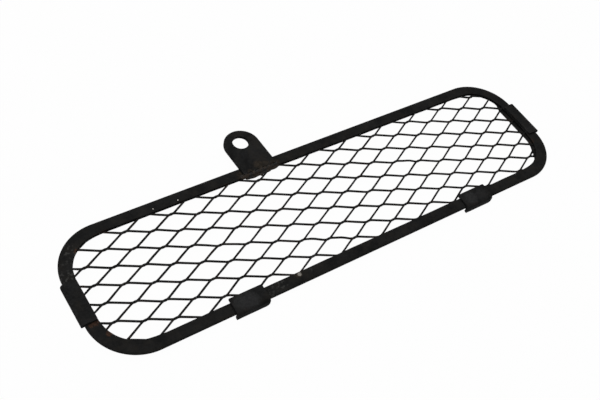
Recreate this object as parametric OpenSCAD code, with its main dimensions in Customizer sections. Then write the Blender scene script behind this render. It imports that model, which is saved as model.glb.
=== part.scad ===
// Guard for a small oil cooler: expanded metal held in a folded channel ring,
// with one bolt tab and four hook lugs welded on.
// Millimetres. The origin is the centre of the tab's bolt hole, on the tab's
// underside. X runs along the guard, Y from the guard to the tab, and Z up.

/* [Channel ring] */
// Outside length of the ring
frame_l = 215.5; // [180:0.5:260]
// Outside width of the ring
frame_w = 56.2; // [46:0.1:80]
// Outside corner radius of the ring
corner_r = 19; // [12:0.5:22]
// Width of the folded channel, seen from above
channel_w = 4.7; // [3.5:0.1:6.5]
// Height of the folded channel
channel_h = 1.7; // [1.5:0.05:2.6]
// Sheet thickness of the channel
channel_t = 0.5; // [0.4:0.05:0.6]
// Outside radius of the channel's two folds
fold_r = 0.7; // [0.6:0.05:0.75]

/* [Expanded metal] */
// Long way of one diamond, along X
mesh_lwd = 19.3; // [14:0.1:26]
// Short way of one diamond, along Y
mesh_swd = 8; // [6:0.1:11]
// Thickness of the sheet that was slit and stretched
mesh_t = 0.7; // [0.4:0.05:0.8]
// Width of one strand, as slit
strand_w = 0.6; // [0.45:0.05:0.7]
// Length of the bond where two strands meet
bond_l = 1.7; // [1.5:0.1:4]
// Place of one bond, along X from the ring's centre
mesh_x = 7.6; // [-9:0.1:9]
// Place of one bond, along Y from the ring's centre
mesh_y = 0.4; // [-4:0.1:4]

/* [Bolt tab] */
// Diameter of the bolt hole
hole_d = 7; // [5:0.1:8.5]
// Width of the tab
tab_w = 15.1; // [12:0.1:20]
// Thickness of the tab
tab_t = 1.5; // [1:0.1:2.5]
// Distance from the ring's outer edge to the hole's centre
hole_reach = 10.6; // [8:0.1:20]
// How far the round end's centre lies nearer the ring than the hole
tip_back = 1.3; // [0:0.1:2]
// Place of the tab, along X from the ring's centre
tab_x = -19.1; // [-60:0.1:40]
// Gap between the tab's lower end and the channel's inner edge
tab_setback = 0.5; // [0.4:0.1:1.5]
// How far the tab is turned out of square, about its hole
tab_turn = 2; // [-3:0.5:3]

/* [Lugs] */
// Sheet thickness of the four lugs
lug_t = 1.2; // [0.8:0.1:2]
// Inside radius of the bend in each lug
lug_bend_r = 0.5; // [0.2:0.05:0.6]
// Length of a front lug, along the ring
front_lug_l = 13.8; // [8:0.1:22]
// Place of the left front lug, along X from the ring's centre
front_lug_left_x = -53.3; // [-70:0.1:-40]
// Place of the right front lug, along X from the ring's centre
front_lug_right_x = 55.9; // [40:0.1:70]
// How far a front lug stands over the inside of the channel
front_lug_over = 0.9; // [0:0.1:1.5]
// How far a front lug's leg reaches below the channel
front_lug_drop = 1.3; // [0.8:0.1:6]
// Length of an end lug, along the ring
end_lug_l = 17.6; // [8:0.1:18]
// Place of both end lugs, along Y from the ring's centre
end_lug_y = -0.4; // [-2:0.1:2]
// How far an end lug's leg stops above the channel's bottom
end_lug_rise = 0.3; // [0:0.1:0.6]
// Radius of the corners of each leg
leg_corner_r = 1; // [0.3:0.1:1.2]
// Radius of the corners of each lug's top plate
plate_corner_r = 0.6; // [0.3:0.1:2]

/* [Hidden] */
$fn = 64;
// Radius of the channel's two raw lips
lip_r = 0.2;
// Clear height inside the channel
slot_h = channel_h - 2 * channel_t;
// Gap between the expanded metal's cut edge and the channel's web
mesh_edge_gap = 0.3;
// Gap above and below the flattened edge of the expanded metal
mesh_side_gap = 0.05;
// Overlap that joins two strands into one bond
bond_fuse = 0.01;
// Lean of the strands, from the guard's plane: pure bending of the slit sheet
strand_lean = acos(2 * strand_w / mesh_swd);
// Height of a strand's zigzag, square to its own face
zigzag_h = mesh_swd / 2 * sin(strand_lean);
// Part of each corner of the zigzag that is rounded, along both its sides
zigzag_round = 0.45 * bond_l;
// Reach of the cutting tools, past every edge they trim
tall = frame_w / 2;
// Run-out of shapes that are cut off at their far end
run_out = 1;
// Centre-to-centre step and radii of the lumps in the weld bead
weld_step = 1.75;
weld_radii = [1.05, 1.25, 1.15, 1.35, 1.2, 1.4, 1.25, 1.3, 1.15, 1.05];
// Start of the weld bead, left of the tab's edge
weld_start = 0.9;
// Depth and width of the mark that each spot weld leaves in a lug's top plate
dimple_depth = 0.16;
dimple_d = 3;
// Distance of the spot welds from the ring's outer face
dimple_in = 2.5;
// Distance of each spot weld from the lug's middle, as a part of the lug's length
dimple_share = 0.3;

// Children are placed by the ring's centre, on the plane of its top face.
module from_ring_centre() {
    translate([-tab_x, -(frame_w / 2 + hole_reach), 0]) children();
}

// A strip from x = 0 with both corners at that end rounded.
module round_ended_strip(w, h, r) {
    translate([r, 0]) square([w - r, h]);
    translate([0, r]) square([r, h - 2 * r]);
    translate([r, r]) circle(r);
    translate([r, h - r]) circle(r);
}

// A rectangle around the centre with four round corners.
module round_rect(l, w, r) {
    square([l - 2 * r, w], center = true);
    square([l, w - 2 * r], center = true);
    for (x = [-1, 1], y = [-1, 1])
        translate([x * (l / 2 - r), y * (w / 2 - r)]) circle(r);
}

// The ring's outline, moved inwards.
module ring_outline(inset) {
    round_rect(frame_l - 2 * inset, frame_w - 2 * inset, corner_r - inset);
}

// The folded channel's section: x inwards from its outer face, y = 0 on top.
module channel_section() {
    translate([0, -channel_h]) difference() {
        intersection() {
            round_ended_strip(channel_w + run_out, channel_h, fold_r);
            union() {
                square([channel_w - lip_r, channel_h]);
                translate([0, lip_r]) square([channel_w, channel_h - 2 * lip_r]);
                for (y = [lip_r, channel_h - lip_r])
                    translate([channel_w - lip_r, y]) circle(lip_r);
            }
        }
        translate([channel_t, channel_t])
            round_ended_strip(channel_w, slot_h, fold_r - channel_t);
    }
}

// A straight run of channel along Y, its outer face at x = 0 and facing +X.
module channel_run(l) {
    rotate([90, 0, 0]) linear_extrude(l, center = true) mirror([1, 0]) channel_section();
}

// A quarter turn of channel around the origin, from +X to +Y.
module channel_corner() {
    rotate_extrude(angle = 90) translate([corner_r, 0]) mirror([1, 0]) channel_section();
}

module channel_frame() {
    color("#262626") from_ring_centre() {
        for (side = [0, 1]) rotate([0, 0, 180 * side]) {
            translate([frame_l / 2, 0, 0]) channel_run(frame_w - 2 * corner_r);
            translate([0, frame_w / 2, 0]) rotate([0, 0, 90]) channel_run(frame_l - 2 * corner_r);
            translate([frame_l / 2 - corner_r, frame_w / 2 - corner_r, 0]) channel_corner();
            mirror([1, 0, 0])
                translate([frame_l / 2 - corner_r, frame_w / 2 - corner_r, 0]) channel_corner();
        }
    }
}

function unit(v) = v / norm(v);
function left_of(v) = [-v[1], v[0]];

// The points of a path with each corner cut back by d along both its sides.
function ease_corners(p, d) = [
    p[0],
    for (i = [1 : len(p) - 2])
        for (q = [p[i] + d * unit(p[i - 1] - p[i]), p[i] + d * unit(p[i + 1] - p[i])]) q,
    p[len(p) - 1]
];

// The path moved d to its left, with mitred corners.
function beside(p, d) = [
    for (i = [0 : len(p) - 1])
        let (a = left_of(unit(p[max(i, 1)] - p[max(i, 1) - 1])),
             b = left_of(unit(p[min(i + 1, len(p) - 1)] - p[min(i + 1, len(p) - 1) - 1])))
            p[i] + d * (a + b) / (1 + a * b)
];

// The middle line of one strand: low bond, ramp, high bond and ramp, n times over.
function zigzag(n) = [
    [-bond_l / 2, 0],
    for (i = [0 : n - 1], q = [
        [i * mesh_lwd + bond_l / 2, 0],
        [(i + 0.5) * mesh_lwd - bond_l / 2, zigzag_h],
        [(i + 0.5) * mesh_lwd + bond_l / 2, zigzag_h],
        [(i + 1) * mesh_lwd - bond_l / 2, 0]
    ]) q,
    [n * mesh_lwd + bond_l / 2, 0]
];

function reversed(p) = [for (i = [len(p) - 1 : -1 : 0]) p[i]];

// One strand, from the bond at the origin to the bonds of the next row up.
module strand(n) {
    path = ease_corners(zigzag(n), zigzag_round);
    rotate([90 - strand_lean, 0, 0]) translate([0, 0, -strand_w - bond_fuse])
        linear_extrude(strand_w + 2 * bond_fuse)
            polygon(concat(beside(path, -mesh_t / 2), reversed(beside(path, mesh_t / 2))));
}

// What the ring leaves room for: its window, and the flat slot inside the channel.
module mesh_room() {
    translate([0, 0, -tall / 2]) linear_extrude(tall) ring_outline(channel_w + mesh_side_gap);
    translate([0, 0, -slot_h / 2 + mesh_side_gap])
        linear_extrude(slot_h - 2 * mesh_side_gap) ring_outline(channel_t + mesh_edge_gap);
}

module expanded_mesh() {
    rows = ceil((frame_w / 2 + abs(mesh_y)) / (mesh_swd / 2)) + 1;
    turns = ceil((frame_l / 2 + abs(mesh_x)) / mesh_lwd) + 1;
    color("#2b2a29") from_ring_centre() translate([0, 0, -channel_h / 2]) intersection() {
        union() {
            for (row = [-rows : rows - 1])
                translate([mesh_x - (turns + abs(row % 2) / 2) * mesh_lwd,
                    mesh_y + row * mesh_swd / 2, 0])
                    strand(2 * turns + 1);
        }
        mesh_room();
    }
}

module mounting_tab() {
    foot_y = -(hole_reach + channel_w - tab_setback);
    color("#303030") rotate([0, 0, tab_turn]) linear_extrude(tab_t) difference() {
        union() {
            translate([0, -tip_back]) circle(tab_w / 2);
            translate([-tab_w / 2, foot_y]) square([tab_w, -tip_back - foot_y]);
        }
        circle(hole_d / 2);
    }
}

// A bead of weld lumps on the channel's lip, along the lower end of the tab.
module tab_weld() {
    foot_y = -(hole_reach + channel_w - tab_setback);
    color("#5a4030") rotate([0, 0, tab_turn]) difference() {
        for (i = [0 : len(weld_radii) - 1])
            translate([-tab_w / 2 - weld_start + i * weld_step, foot_y, 0])
                sphere(weld_radii[i], $fn = 24);
        translate([-tall, foot_y - tall, -tall]) cube([2 * tall, 2 * tall, tall]);
        translate([-tab_w / 2, foot_y, -tall / 2]) cube([tab_w, tall, tall]);
    }
}

// The lug's bent section: x outwards from the channel's outer face, y = 0 on the channel's top.
module lug_section(over, leg_bottom) {
    outer_r = lug_bend_r + lug_t;
    translate([-channel_w - over, 0]) square([channel_w + over - lug_bend_r, lug_t]);
    translate([0, leg_bottom]) square([lug_t, -lug_bend_r - leg_bottom]);
    translate([-lug_bend_r, -lug_bend_r]) intersection() {
        difference() {
            circle(outer_r);
            circle(lug_bend_r);
        }
        square(outer_r);
    }
}

// Rounds the two far corners of a plate: x along its width, y towards its end.
module end_rounding(w, r) {
    for (side = [-1, 1])
        translate([side * (w / 2 - r), -r]) difference() {
            translate([side < 0 ? -r - run_out : 0, 0]) square(r + run_out);
            circle(r);
        }
}

// The round tool tip that presses one spot weld: its lowest point is at the origin.
module spot_weld_tip() {
    tip_r = (pow(dimple_d / 2, 2) + pow(dimple_depth, 2)) / (2 * dimple_depth);
    translate([0, 0, tip_r]) sphere(tip_r);
}

// A hook lug centred on the origin, its leg facing +X and its length along Y.
module hook_lug(l, over, leg_bottom) {
    difference() {
        rotate([90, 0, 0]) linear_extrude(l, center = true) lug_section(over, leg_bottom);
        translate([-channel_w - over, 0, -tall / 2]) linear_extrude(tall)
            rotate([0, 0, 90]) end_rounding(l, plate_corner_r);
        translate([-tall / 2, 0, leg_bottom]) rotate([90, 0, 90]) linear_extrude(tall)
            mirror([0, 1]) end_rounding(l, leg_corner_r);
        for (side = [-1, 1])
            translate([-dimple_in, side * dimple_share * l, lug_t - dimple_depth]) spot_weld_tip();
    }
}

module front_lug(x) {
    color("#2d2d2d") from_ring_centre() translate([x, -frame_w / 2, 0]) rotate([0, 0, -90])
        hook_lug(front_lug_l, front_lug_over, -channel_h - front_lug_drop);
}

module front_lug_left() {
    front_lug(front_lug_left_x);
}

module front_lug_right() {
    front_lug(front_lug_right_x);
}

module end_lug(side) {
    color("#2a2a2a") from_ring_centre() translate([side * frame_l / 2, end_lug_y, 0])
        rotate([0, 0, side < 0 ? 180 : 0]) hook_lug(end_lug_l, 0, -channel_h + end_lug_rise);
}

module end_lug_left() {
    end_lug(-1);
}

module end_lug_right() {
    end_lug(1);
}

channel_frame();
expanded_mesh();
mounting_tab();
tab_weld();
front_lug_left();
front_lug_right();
end_lug_left();
end_lug_right();
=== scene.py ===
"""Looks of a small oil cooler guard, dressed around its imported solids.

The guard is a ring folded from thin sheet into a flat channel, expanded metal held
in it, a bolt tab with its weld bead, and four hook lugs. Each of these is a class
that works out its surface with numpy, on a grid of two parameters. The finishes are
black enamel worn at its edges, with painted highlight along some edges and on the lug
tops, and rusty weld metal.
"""

from __future__ import annotations

import logging
import math
from dataclasses import dataclass, field
from enum import Enum

import bmesh
import bpy
import numpy as np
from mathutils import Matrix, Quaternion, Vector

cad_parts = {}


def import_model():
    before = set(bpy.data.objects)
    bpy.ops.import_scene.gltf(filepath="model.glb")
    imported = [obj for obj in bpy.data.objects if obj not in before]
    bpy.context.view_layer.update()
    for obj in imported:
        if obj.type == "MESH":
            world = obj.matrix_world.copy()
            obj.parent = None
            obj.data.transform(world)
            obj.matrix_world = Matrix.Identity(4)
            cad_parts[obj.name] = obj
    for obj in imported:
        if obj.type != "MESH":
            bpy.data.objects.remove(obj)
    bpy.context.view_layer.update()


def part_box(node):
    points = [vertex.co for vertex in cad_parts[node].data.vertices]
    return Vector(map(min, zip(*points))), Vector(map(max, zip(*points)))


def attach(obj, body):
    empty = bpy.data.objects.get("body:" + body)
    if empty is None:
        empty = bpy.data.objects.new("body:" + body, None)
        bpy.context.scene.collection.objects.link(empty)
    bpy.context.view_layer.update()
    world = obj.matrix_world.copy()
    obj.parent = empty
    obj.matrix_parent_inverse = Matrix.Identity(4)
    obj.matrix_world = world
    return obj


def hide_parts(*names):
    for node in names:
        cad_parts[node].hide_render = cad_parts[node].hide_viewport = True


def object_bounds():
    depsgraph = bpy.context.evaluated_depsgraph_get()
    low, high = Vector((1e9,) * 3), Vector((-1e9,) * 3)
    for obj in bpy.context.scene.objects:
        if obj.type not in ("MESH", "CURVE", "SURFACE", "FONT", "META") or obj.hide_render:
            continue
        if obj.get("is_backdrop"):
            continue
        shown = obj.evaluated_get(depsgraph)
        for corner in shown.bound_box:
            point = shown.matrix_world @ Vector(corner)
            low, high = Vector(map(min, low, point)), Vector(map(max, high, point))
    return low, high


MM = 0.001
BODY = "root"
EDGE = "edge_closeness"
FULL_TURN = 2.0 * math.pi
QUARTER_TURN = math.pi / 2.0
MERGE_DISTANCE = 1e-7
SHADING_WEIGHT = 60
Rgb = tuple[float, float, float]
Triple = tuple[float, float, float]

WHITE: Rgb = (1.0, 1.0, 1.0)

log = logging.getLogger("oil_cooler_guard")


class Slot(Enum):
    """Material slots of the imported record."""

    RING = "ring_paint"
    GRILLE = "mesh_paint"
    TAB = "tab_paint"
    WELD = "weld_rust"
    LUG = "lug_paint"


class Side(Enum):
    """Way that a lug's leg faces, as a unit vector in plan."""

    FRONT = (0.0, -1.0)
    LEFT = (-1.0, 0.0)
    RIGHT = (1.0, 0.0)


def add_object(name: str, data: bpy.types.ID | None) -> bpy.types.Object:
    """Add an object at the origin."""
    made = bpy.data.objects.new(name, data)
    bpy.context.scene.collection.objects.link(made)
    return made


def extent(node: str) -> tuple[np.ndarray, np.ndarray]:
    """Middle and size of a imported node's box."""
    low, high = (np.array(corner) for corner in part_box(node))
    return (low + high) / 2.0, high - low


# Surfaces


def arc(centre: tuple[float, float], radius: float, start: float, end: float, steps: int) -> np.ndarray:
    """Sample a circular arc: centre + radius * (cos, sin) of evenly spaced angles.

    Args:
        centre: Middle of the circle.
        radius: Its radius.
        start: First angle in degrees.
        end: Last angle in degrees.
        steps: Number of pieces.

    Returns:
        Points, one row each.
    """
    angle = np.radians(np.linspace(start, end, steps + 1))
    return np.stack([centre[0] + radius * np.cos(angle), centre[1] + radius * np.sin(angle)], axis=1)


def line(start: tuple[float, float], end: tuple[float, float], steps: int) -> np.ndarray:
    """Sample a straight line without its two ends.

    Args:
        start: First point, left out.
        end: Last point, left out.
        steps: Number of pieces.

    Returns:
        The points between, one row each.
    """
    share = np.linspace(0.0, 1.0, steps + 1)[1:-1, None]
    return (1.0 - share) * np.array(start) + share * np.array(end)


def smooth_step(low: float, high: float, value: np.ndarray) -> np.ndarray:
    """Rise from 0 at low to 1 at high along 3 t^2 - 2 t^3."""
    t = np.clip((value - low) / (high - low), 0.0, 1.0)
    return t * t * (3.0 - 2.0 * t)


def turned(points: np.ndarray, degrees: float) -> np.ndarray:
    """Turn points in plan about the origin: x' = x cos - y sin and y' = x sin + y cos."""
    sin, cos = math.sin(math.radians(degrees)), math.cos(math.radians(degrees))
    x, y = points[..., 0], points[..., 1]
    return np.stack([x * cos - y * sin, x * sin + y * cos], axis=-1)


def waviness(x: np.ndarray, y: np.ndarray, lengths: tuple[float, ...], seed: int) -> np.ndarray:
    """Smooth uneven field: the mean of plane sine waves with seeded directions and phases.

    Args:
        x: First coordinates.
        y: Second coordinates.
        lengths: Wavelength of each wave.
        seed: Seed of the directions and phases.

    Returns:
        Values between -1 and 1.
    """
    draw = np.random.default_rng(seed)
    total = np.zeros(np.broadcast(x, y).shape)
    for length in lengths:
        heading, phase = draw.uniform(0.0, FULL_TURN, 2)
        along = x * math.cos(heading) + y * math.sin(heading)
        total = total + np.sin(FULL_TURN * along / length + phase)
    return total / len(lengths)


class Surface:
    """Closed grids gathered into one mesh, with a closeness to worn edges at each point."""

    def __init__(self) -> None:
        """Start with no grid."""
        self._points: list[np.ndarray] = []
        self._edges: list[np.ndarray] = []
        self._quads: list[np.ndarray] = []
        self._count = 0

    def add(self, points: np.ndarray, edge: np.ndarray, loop: bool) -> None:
        """Add one closed grid, whose columns always run round a loop.

        The quads join neighbours (i, j), (i + 1, j), (i + 1, j + 1) and (i, j + 1), and
        turn over where the enclosed volume, the sum of a . (b x c) / 6, is negative.

        Args:
            points: Grid of points, rows by columns by 3.
            edge: Closeness to a worn edge, rows by columns.
            loop: Whether the rows run round too. Otherwise both ends close on a point.
        """
        if not loop:
            first = np.broadcast_to(points[:1].mean(axis=1, keepdims=True), points[:1].shape)
            last = np.broadcast_to(points[-1:].mean(axis=1, keepdims=True), points[-1:].shape)
            points = np.concatenate([first, points, last])
            edge = np.concatenate([edge[:1] * 0.0, edge, edge[-1:] * 0.0])
        rows, columns = points.shape[:2]
        row, column = np.indices((rows if loop else rows - 1, columns))
        next_row, next_column = (row + 1) % rows, (column + 1) % columns
        around = ((row, column), (next_row, column), (next_row, next_column), (row, next_column))
        quads = np.stack([i * columns + j for i, j in around], axis=-1).reshape(-1, 4)
        flat = points.reshape(-1, 3)
        a, b, c, d = (flat[quads[:, k]] - flat.mean(axis=0) for k in range(4))
        volume = np.einsum("ij,ij->", a, np.cross(b, c)) + np.einsum("ij,ij->", a, np.cross(c, d))
        if volume < 0.0:
            quads = quads[:, ::-1]
        self._points.append(flat)
        self._edges.append(np.broadcast_to(edge, (rows, columns)).reshape(-1))
        self._quads.append(quads + self._count)
        self._count += len(flat)

    def build(self, name: str) -> bpy.types.Object:
        """Make the mesh, merge what coincides and shade it smooth with area-weighted normals.

        Args:
            name: Name of the object.

        Returns:
            The object, at the origin.
        """
        mesh = bpy.data.meshes.new(name)
        quads = np.concatenate(self._quads).astype(np.int32)
        mesh.vertices.add(self._count)
        mesh.vertices.foreach_set("co", np.concatenate(self._points).astype(np.float32).ravel())
        mesh.loops.add(quads.size)
        mesh.loops.foreach_set("vertex_index", quads.ravel())
        mesh.polygons.add(len(quads))
        mesh.polygons.foreach_set("loop_start", np.arange(0, quads.size, 4, dtype=np.int32))
        mesh.polygons.foreach_set("use_smooth", np.ones(len(quads), dtype=bool))
        closeness = mesh.attributes.new(EDGE, "FLOAT", "POINT")
        closeness.data.foreach_set("value", np.concatenate(self._edges).astype(np.float32))
        mesh.update(calc_edges=True)
        merge_coincident(mesh)
        piece = add_object(name, mesh)
        piece.modifiers.new("even_shading", "WEIGHTED_NORMAL").weight = SHADING_WEIGHT
        return piece


def merge_coincident(mesh: bpy.types.Mesh) -> None:
    """Merge points that lie on each other, so that poles and seams are closed."""
    work = bmesh.new()
    work.from_mesh(mesh)
    bmesh.ops.remove_doubles(work, verts=work.verts, dist=MERGE_DISTANCE)
    work.to_mesh(mesh)
    work.free()


# Node trees


class Tree:
    """A node tree that is filled by name."""

    def __init__(self, tree: bpy.types.NodeTree) -> None:
        """Keep the tree to fill."""
        self.tree = tree

    def node(self, kind: str, inputs: dict | None = None, **settings: object) -> bpy.types.Node:
        """Add a node, set it and feed its inputs.

        Args:
            kind: Blender's name of the node type.
            inputs: Value or feeding socket of each input, by name or index.
            settings: Properties of the node.

        Returns:
            The node.
        """
        made = self.tree.nodes.new(kind)
        for key, value in settings.items():
            setattr(made, key, value)
        self.feed(made, inputs or {})
        return made

    def feed(self, made: bpy.types.Node, inputs: dict) -> None:
        """Link or set a node's inputs.

        Args:
            made: The node.
            inputs: Value or feeding socket of each input, by name or index.
        """
        for key, value in inputs.items():
            if isinstance(value, bpy.types.NodeSocket):
                self.tree.links.new(value, made.inputs[key])
            else:
                made.inputs[key].default_value = value

    def noise(self, vector: object, scale: object, detail: float = 3.0, roughness: float = 0.5) -> object:
        """Add a noise and return its value."""
        inputs = {"Vector": vector, "Scale": scale, "Detail": detail, "Roughness": roughness}
        return self.node("ShaderNodeTexNoise", inputs).outputs["Fac"]

    def math(self, operation: str, *values: object, clamp: bool = False) -> object:
        """Add a Math node and return its result."""
        made = self.node("ShaderNodeMath", dict(enumerate(values)), operation=operation, use_clamp=clamp)
        return made.outputs[0]

    def span(self, value: object, low: float, high: float, start: float = 0.0, end: float = 1.0) -> object:
        """Add a smooth Map Range from low and high to start and end, and return its result."""
        ends = {"From Min": low, "From Max": high, "To Min": start, "To Max": end}
        made = self.node("ShaderNodeMapRange", {"Value": value, **ends}, interpolation_type="SMOOTHSTEP")
        return made.outputs["Result"]

    def blend(self, share: object, first: object, second: object) -> object:
        """Add a colour mix and return its colour."""
        made = self.node("ShaderNodeMix", {0: share, 6: first, 7: second}, data_type="RGBA")
        return made.outputs[2]


def rgba(colour: Rgb) -> tuple[float, float, float, float]:
    """Give a colour its alpha of 1."""
    return (*colour, 1.0)


def emptied(owner: bpy.types.Material | bpy.types.World) -> Tree:
    """Empty the node tree of a material or a world."""
    owner.use_nodes = True
    owner.node_tree.nodes.clear()
    return Tree(owner.node_tree)


class Effect:
    """A shader node group that is built once and placed in each material with its own values."""

    name = ""
    inputs: tuple[tuple[str, str], ...] = ()
    outputs: tuple[tuple[str, str], ...] = ()

    def __init__(self) -> None:
        """Build the group."""
        self.group = bpy.data.node_groups.new(self.name, "ShaderNodeTree")
        for way, sockets in (("INPUT", self.inputs), ("OUTPUT", self.outputs)):
            for label, kind in sockets:
                self.group.interface.new_socket(label, in_out=way, socket_type="NodeSocket" + kind)
        tree = Tree(self.group)
        source = tree.node("NodeGroupInput").outputs
        tree.node("NodeGroupOutput", self.lay(tree, source))

    def lay(self, tree: Tree, source: object) -> dict:
        """Lay the effect's nodes.

        Args:
            tree: Tree of the group.
            source: The group's inputs, by name.

        Returns:
            Feeding socket of each output, by name.
        """
        raise NotImplementedError

    def place(self, tree: Tree, **values: object) -> object:
        """Place the group in a material.

        Args:
            tree: The material's tree.
            values: Value or feeding socket of each input, with _ for a space.

        Returns:
            The group's outputs, by name.
        """
        made = tree.node("ShaderNodeGroup", node_tree=self.group)
        tree.feed(made, {key.replace("_", " "): value for key, value in values.items()})
        return made.outputs


class EnamelMottle(Effect):
    """Old enamel: broad dull patches with a fine cloudy grain in them."""

    name = "enamel_mottle"
    inputs = (("Vector", "Vector"), ("Deep", "Color"), ("Pale", "Color"), ("Patches", "Float"))
    outputs = (("Color", "Color"), ("Dullness", "Float"))
    finer = 9.0
    parts = (0.62, 0.38)
    edges = (0.36, 0.66)

    def lay(self, tree: Tree, source: object) -> dict:
        """Mix the two colours by a broad noise broken up by a fine one."""
        broad = tree.noise(source["Vector"], source["Patches"], 4.0, 0.6)
        fine_scale = tree.math("MULTIPLY", source["Patches"], self.finer)
        fine = tree.noise(source["Vector"], fine_scale, 3.0, 0.65)
        both = (tree.math("MULTIPLY", noise, part) for noise, part in zip((broad, fine), self.parts))
        share = tree.span(tree.math("ADD", *both), *self.edges)
        return {"Color": tree.blend(share, source["Deep"], source["Pale"]), "Dullness": share}


class EdgeRub(Effect):
    """Mask of the edges where the surface turns, broken up along the edge: worn paint with painted
    highlight, and rust creep.
    """

    name = "edge_rub"
    inputs = (("Vector", "Vector"), ("Edge", "Float"), ("Breaks", "Float"), ("Amount", "Float"))
    outputs = (("Mask", "Float"),)
    break_edges = (0.38, 0.7)
    rub_edges = (0.25, 0.8)

    def lay(self, tree: Tree, source: object) -> dict:
        """Let the closeness to the edge pass where the noise is high."""
        breaks = tree.noise(source["Vector"], source["Breaks"], 5.0, 0.65)
        lifted = tree.math("MULTIPLY", source["Edge"], tree.span(breaks, *self.break_edges))
        rubbed_and_highlight = tree.span(lifted, *self.rub_edges)
        return {"Mask": tree.math("MULTIPLY", rubbed_and_highlight, source["Amount"], clamp=True)}


class RaggedSpot(Effect):
    """A ragged spot round a place on the piece."""

    name = "ragged_spot"
    inputs = (("Vector", "Vector"), ("Centre", "Vector"), ("Radius", "Float"), ("Ragged", "Float"))
    outputs = (("Mask", "Float"),)
    grain = 1400.0
    edges = (0.55, 1.0)

    def lay(self, tree: Tree, source: object) -> dict:
        """Distance over radius, pushed in and out by noise, then a soft threshold."""
        inputs = {0: source["Vector"], 1: source["Centre"]}
        away = tree.node("ShaderNodeVectorMath", inputs, operation="DISTANCE").outputs["Value"]
        share = tree.math("DIVIDE", away, source["Radius"])
        push = tree.math("SUBTRACT", tree.noise(source["Vector"], self.grain, 4.0, 0.7), 0.5)
        ragged = tree.math("ADD", share, tree.math("MULTIPLY", push, source["Ragged"]))
        return {"Mask": tree.span(ragged, *self.edges, 1.0, 0.0)}


class RustColour(Effect):
    """Rust from dark scale to orange bloom; the same mix also lays stains and the painted highlight on the
    lug tops.
    """

    name = "rust_colour"
    colours = (("Scale colour", "Color"), ("Bloom colour", "Color"))
    inputs = (("Vector", "Vector"), ("Grain", "Float"), *colours)
    outputs = (("Color", "Color"), ("Height", "Float"))
    edges = (0.35, 0.68)

    def lay(self, tree: Tree, source: object) -> dict:
        """Mix both colours by a rough noise, which is also the height."""
        grain = tree.noise(source["Vector"], source["Grain"], 6.0, 0.7)
        share = tree.span(grain, *self.edges)
        colour = tree.blend(share, source["Scale colour"], source["Bloom colour"])
        return {"Color": colour, "Height": grain}


class BareFlecks(Effect):
    """Small chips of bare metal, one in some of the cells."""

    name = "bare_flecks"
    inputs = (("Vector", "Vector"), ("Cells", "Float"), ("Size", "Float"), ("Share", "Float"))
    outputs = (("Mask", "Float"),)

    def lay(self, tree: Tree, source: object) -> dict:
        """Keep the middle of those cells whose random number is under the share."""
        cells = tree.node("ShaderNodeTexVoronoi", {"Vector": source["Vector"], "Scale": source["Cells"]})
        near = tree.math("LESS_THAN", cells.outputs["Distance"], source["Size"])
        number = tree.node("ShaderNodeSeparateColor", {0: cells.outputs["Color"]}).outputs[0]
        return {"Mask": tree.math("MULTIPLY", near, tree.math("LESS_THAN", number, source["Share"]))}


class BrushGrain(Effect):
    """Uneven thickness of the enamel: orange peel with sparse grit."""

    name = "enamel_grain"
    inputs = (("Vector", "Vector"), ("Peel", "Float"), ("Grit", "Float"))
    outputs = (("Height", "Float"),)
    grit_edges = (0.62, 0.8)
    grit_height = 0.8

    def lay(self, tree: Tree, source: object) -> dict:
        """Add a soft fine noise and a sparse gritty one."""
        peel = tree.noise(source["Vector"], source["Peel"], 2.0, 0.4)
        grit = tree.span(tree.noise(source["Vector"], source["Grit"], 2.0, 0.6), *self.grit_edges)
        return {"Height": tree.math("ADD", peel, tree.math("MULTIPLY", grit, self.grit_height))}


class SettledDust(Effect):
    """Road dust that stays on what faces up."""

    name = "settled_dust"
    inputs = (("Vector", "Vector"), ("Normal", "Vector"), ("Clouds", "Float"), ("Amount", "Float"))
    outputs = (("Mask", "Float"),)
    up_edges = (0.2, 0.95)
    cloud_edges = (0.42, 0.75)

    def lay(self, tree: Tree, source: object) -> dict:
        """Upward share of the normal times a cloudy noise."""
        up = tree.node("ShaderNodeSeparateXYZ", {0: source["Normal"]}).outputs["Z"]
        clouds = tree.span(tree.noise(source["Vector"], source["Clouds"], 5.0, 0.6), *self.cloud_edges)
        lying = tree.math("MULTIPLY", tree.span(up, *self.up_edges), clouds)
        return {"Mask": tree.math("MULTIPLY", lying, source["Amount"])}


@dataclass
class Effects:
    """The shared groups, each built once."""

    mottle: EnamelMottle = field(default_factory=EnamelMottle)
    edge_mask: EdgeRub = field(default_factory=EdgeRub)
    spot: RaggedSpot = field(default_factory=RaggedSpot)
    rust: RustColour = field(default_factory=RustColour)
    flecks: BareFlecks = field(default_factory=BareFlecks)
    grain: BrushGrain = field(default_factory=BrushGrain)
    dust: SettledDust = field(default_factory=SettledDust)


# Finishes


def close_material(tree: Tree, relief: dict, coat: dict) -> None:
    """Bump the surface and lay the shader over it.

    Args:
        tree: The material's tree.
        relief: Inputs of the bump.
        coat: Inputs of the shader, apart from its normal.
    """
    normal = tree.node("ShaderNodeBump", relief).outputs["Normal"]
    shader = tree.node("ShaderNodeBsdfPrincipled", {**coat, "Normal": normal})
    tree.node("ShaderNodeOutputMaterial", {"Surface": shader.outputs[0]})


@dataclass(frozen=True)
class Spot:
    """A marked place on a finish, in millimetres from the bolt hole, and how strong its mark is."""

    centre: Triple
    radius: float
    strength: float = 1.0

    @classmethod
    def several(cls, *rows: tuple[float, ...]) -> tuple[Spot, ...]:
        """Make spots of rows: the centre's three numbers, the radius and maybe the strength."""
        return tuple(cls(row[:3], *row[3:]) for row in rows)

    def mask(self, tree: Tree, effects: Effects, where: object, ragged: float) -> object:
        """Lay the spot and return its mask."""
        place = {"Centre": tuple(v * MM for v in self.centre), "Radius": self.radius * MM}
        made = effects.spot.place(tree, Vector=where, Ragged=ragged, **place)
        return tree.math("MULTIPLY", made["Mask"], self.strength)


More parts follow.
